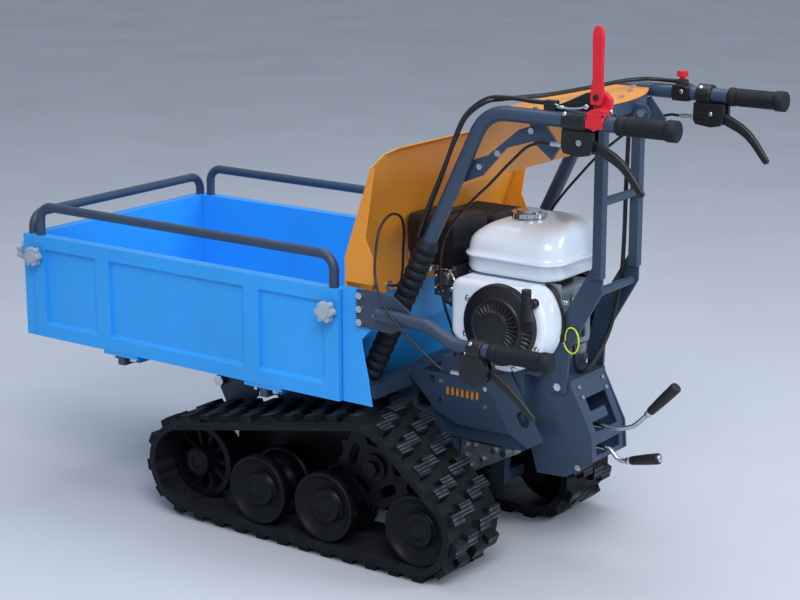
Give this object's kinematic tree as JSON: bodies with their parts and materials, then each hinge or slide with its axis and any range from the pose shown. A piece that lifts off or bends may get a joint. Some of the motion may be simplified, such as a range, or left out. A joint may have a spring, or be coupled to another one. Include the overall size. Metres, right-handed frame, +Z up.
{
  "type": "tracked power carrier",
  "caption": "Walk-behind crawler carrier with rubber tracks, an extending tip bed with lift-out rails, a petrol engine and a handlebar with its controls.",
  "frame": {"origin": "on the ground, in the middle of the machine's length and width", "axes": "+X to the front (the bed), +Y to the left, +Z up"},
  "size_m": [1.68, 0.676, 1.1657],
  "materials": {
    "slate_paint": "slate powder coat",
    "blue_paint": "blue powder coat",
    "yellow_paint": "yellow powder coat",
    "white_paint": "white gloss enamel",
    "black_steel": "satin black paint",
    "track_rubber": "moulded rubber",
    "soft_rubber": "moulded rubber",
    "cast_alloy": "sand cast",
    "black_plastic": "moulded",
    "red_plastic": "moulded",
    "zinc_steel": "zinc plated",
    "bright_chrome": "chrome plated",
    "grey_plastic": "moulded"
  },
  "bodies": {
    "chassis": {"chassis_frame": "slate_paint", "rear_box": "slate_paint", "side_cover": "slate_paint", "gate_plate": "slate_paint", "gearbox": "cast_alloy", "belt_guard": "black_steel", "track_frames": "slate_paint", "track_left": "track_rubber", "track_right": "track_rubber", "handlebar": "slate_paint", "console_frame": "slate_paint", "console": "yellow_paint", "handle_grips": "soft_rubber", "control_housings": "black_plastic", "engine_block": "cast_alloy", "fuel_tank": "white_paint", "fan_cover": "white_paint", "recoil_starter": "black_plastic", "air_cleaner": "black_plastic", "muffler": "black_steel", "control_cables": "soft_rubber", "chassis_fasteners": "zinc_steel"},
    "bed": {"bed_tub": "blue_paint", "engine_shield": "yellow_paint", "tip_handle": "slate_paint", "tip_grip": "soft_rubber", "tip_housing": "black_plastic", "tip_cable": "soft_rubber", "bed_fasteners": "zinc_steel"},
    "rail_left": {"rail_left": "slate_paint"},
    "rail_right": {"rail_right": "slate_paint"},
    "rail_front": {"rail_front": "slate_paint"},
    "panel_left": {"panel_left": "blue_paint"},
    "panel_right": {"panel_right": "blue_paint"},
    "panel_front": {"panel_front": "blue_paint"},
    "sprocket_left": {"sprocket_left": "black_steel"},
    "sprocket_right": {"sprocket_right": "black_steel"},
    "idler_left": {"idler_left": "black_steel"},
    "idler_right": {"idler_right": "black_steel"},
    "roller_left_1": {"roller_left_1": "black_steel"},
    "roller_left_2": {"roller_left_2": "black_steel"},
    "roller_left_3": {"roller_left_3": "black_steel"},
    "roller_right_1": {"roller_right_1": "black_steel"},
    "roller_right_2": {"roller_right_2": "black_steel"},
    "roller_right_3": {"roller_right_3": "black_steel"},
    "brake_lever_left": {"brake_lever_left": "black_plastic"},
    "brake_lever_right": {"brake_lever_right": "black_plastic"},
    "starter_grip": {"starter_grip": "black_plastic"},
    "tip_lever": {"tip_lever": "black_plastic"},
    "clutch_lever": {"clutch_lever": "red_plastic"},
    "kill_button": {"kill_button": "red_plastic"},
    "gear_lever_speed": {"gear_lever_speed": "zinc_steel"},
    "gear_lever_reverse": {"gear_lever_reverse": "zinc_steel"},
    "fuel_cap": {"fuel_cap": "bright_chrome"},
    "knob_left_rear": {"knob_left_rear": "grey_plastic"},
    "knob_left_front": {"knob_left_front": "grey_plastic"},
    "knob_right_rear": {"knob_right_rear": "grey_plastic"},
    "knob_right_front": {"knob_right_front": "grey_plastic"},
    "knob_front_left": {"knob_front_left": "grey_plastic"},
    "knob_front_right": {"knob_front_right": "grey_plastic"}
  },
  "joints": [
    {"name": "sprocket_left_spin", "type": "hinge", "parent": "chassis", "child": "sprocket_left", "pos_m": [-0.162, 0.25, 0.204], "axis": [0, 1, 0], "continuous": true},
    {"name": "idler_left_spin", "type": "hinge", "parent": "chassis", "child": "idler_left", "pos_m": [0.322, 0.25, 0.124], "axis": [0, 1, 0], "continuous": true},
    {"name": "roller_left_1_spin", "type": "hinge", "parent": "chassis", "child": "roller_left_1", "pos_m": [0.119, 0.25, 0.109], "axis": [0, 1, 0], "continuous": true},
    {"name": "roller_left_2_spin", "type": "hinge", "parent": "chassis", "child": "roller_left_2", "pos_m": [-0.064, 0.25, 0.109], "axis": [0, 1, 0], "continuous": true},
    {"name": "roller_left_3_spin", "type": "hinge", "parent": "chassis", "child": "roller_left_3", "pos_m": [-0.306, 0.25, 0.109], "axis": [0, 1, 0], "continuous": true},
    {"name": "sprocket_right_spin", "type": "hinge", "parent": "chassis", "child": "sprocket_right", "pos_m": [-0.162, -0.25, 0.204], "axis": [0, 1, 0], "continuous": true},
    {"name": "idler_right_spin", "type": "hinge", "parent": "chassis", "child": "idler_right", "pos_m": [0.322, -0.25, 0.124], "axis": [0, 1, 0], "continuous": true},
    {"name": "roller_right_1_spin", "type": "hinge", "parent": "chassis", "child": "roller_right_1", "pos_m": [0.119, -0.25, 0.109], "axis": [0, 1, 0], "continuous": true},
    {"name": "roller_right_2_spin", "type": "hinge", "parent": "chassis", "child": "roller_right_2", "pos_m": [-0.064, -0.25, 0.109], "axis": [0, 1, 0], "continuous": true},
    {"name": "roller_right_3_spin", "type": "hinge", "parent": "chassis", "child": "roller_right_3", "pos_m": [-0.306, -0.25, 0.109], "axis": [0, 1, 0], "continuous": true},
    {"name": "bed_tip", "type": "hinge", "parent": "chassis", "child": "bed", "pos_m": [0.386, 0, 0.267], "axis": [0, 1, 0], "range_deg": [0, 45]},
    {"name": "tip_latch_squeeze", "type": "hinge", "parent": "bed", "child": "tip_lever", "pos_m": [-0.478, 0.317, 0.488], "axis": [0, 1, 0], "range_deg": [0, 22], "stiffness_Nm_per_rad": 1.2},
    {"name": "panel_left_out", "type": "slide", "parent": "bed", "child": "panel_left", "axis": [0, 1, 0], "range_m": [0, 0.15]},
    {"name": "panel_right_out", "type": "slide", "parent": "bed", "child": "panel_right", "axis": [0, -1, 0], "range_m": [0, 0.15]},
    {"name": "panel_front_out", "type": "slide", "parent": "bed", "child": "panel_front", "axis": [1, 0, 0], "range_m": [0, 0.15]},
    {"name": "rail_left_lift", "type": "slide", "parent": "panel_left", "child": "rail_left", "axis": [0, 0, 1], "range_m": [0, 0.08]},
    {"name": "rail_right_lift", "type": "slide", "parent": "panel_right", "child": "rail_right", "axis": [0, 0, 1], "range_m": [0, 0.08]},
    {"name": "rail_front_lift", "type": "slide", "parent": "panel_front", "child": "rail_front", "axis": [0, 0, 1], "range_m": [0, 0.08]},
    {"name": "knob_left_rear_turn", "type": "hinge", "parent": "panel_left", "child": "knob_left_rear", "pos_m": [-0.092, 0.324, 0.549], "axis": [0, 1, 0], "continuous": true},
    {"name": "knob_left_front_turn", "type": "hinge", "parent": "panel_left", "child": "knob_left_front", "pos_m": [0.767, 0.324, 0.549], "axis": [0, 1, 0], "continuous": true},
    {"name": "knob_right_rear_turn", "type": "hinge", "parent": "panel_right", "child": "knob_right_rear", "pos_m": [-0.092, -0.324, 0.549], "axis": [0, -1, 0], "continuous": true},
    {"name": "knob_right_front_turn", "type": "hinge", "parent": "panel_right", "child": "knob_right_front", "pos_m": [0.767, -0.324, 0.549], "axis": [0, -1, 0], "continuous": true},
    {"name": "knob_front_left_turn", "type": "hinge", "parent": "panel_front", "child": "knob_front_left", "pos_m": [0.826, 0.29, 0.549], "axis": [1, 0, 0], "continuous": true},
    {"name": "brake_left_squeeze", "type": "hinge", "parent": "chassis", "child": "brake_lever_left", "pos_m": [-0.64, 0.228, 0.944], "axis": [0, 1, 0], "range_deg": [0, 18], "stiffness_Nm_per_rad": 2},
    {"name": "knob_front_right_turn", "type": "hinge", "parent": "panel_front", "child": "knob_front_right", "pos_m": [0.826, -0.29, 0.549], "axis": [1, 0, 0], "continuous": true},
    {"name": "brake_right_squeeze", "type": "hinge", "parent": "chassis", "child": "brake_lever_right", "pos_m": [-0.674, -0.228, 0.944], "axis": [0, 1, 0], "range_deg": [0, 18], "stiffness_Nm_per_rad": 2},
    {"name": "clutch_throw", "type": "hinge", "parent": "chassis", "child": "clutch_lever", "pos_m": [-0.667, 0.228, 1.031], "axis": [0, 1, 0], "range_deg": [0, 55]},
    {"name": "stop_press", "type": "slide", "parent": "chassis", "child": "kill_button", "axis": [0, 0, -1], "range_m": [0, 0.004], "stiffness_N_per_m": 600},
    {"name": "gear_speed_swing", "type": "hinge", "parent": "chassis", "child": "gear_lever_speed", "pos_m": [-0.452, 0.014, 0.316], "axis": [0, 0, 1], "range_deg": [-10, 20]},
    {"name": "gear_reverse_swing", "type": "hinge", "parent": "chassis", "child": "gear_lever_reverse", "pos_m": [-0.452, 0.014, 0.268], "axis": [0, 0, 1], "range_deg": [-10, 20]},
    {"name": "starter_pull", "type": "slide", "parent": "chassis", "child": "starter_grip", "axis": [-0.6, 0.8, 0], "range_m": [0, 0.35], "stiffness_N_per_m": 40},
    {"name": "fuel_cap_turn", "type": "hinge", "parent": "chassis", "child": "fuel_cap", "pos_m": [-0.389, 0.018, 0.74], "axis": [0, 0, 1], "range_deg": [0, 120]}
  ],
  "couplings": [
    {"joint": "idler_left_spin", "follows": "sprocket_left_spin", "ratio": 1.117},
    {"joint": "roller_left_1_spin", "follows": "sprocket_left_spin", "ratio": 1.2209},
    {"joint": "roller_left_2_spin", "follows": "sprocket_left_spin", "ratio": 1.2209},
    {"joint": "roller_left_3_spin", "follows": "sprocket_left_spin", "ratio": 1.2209},
    {"joint": "idler_right_spin", "follows": "sprocket_right_spin", "ratio": 1.117},
    {"joint": "roller_right_1_spin", "follows": "sprocket_right_spin", "ratio": 1.2209},
    {"joint": "roller_right_2_spin", "follows": "sprocket_right_spin", "ratio": 1.2209},
    {"joint": "roller_right_3_spin", "follows": "sprocket_right_spin", "ratio": 1.2209}
  ]
}
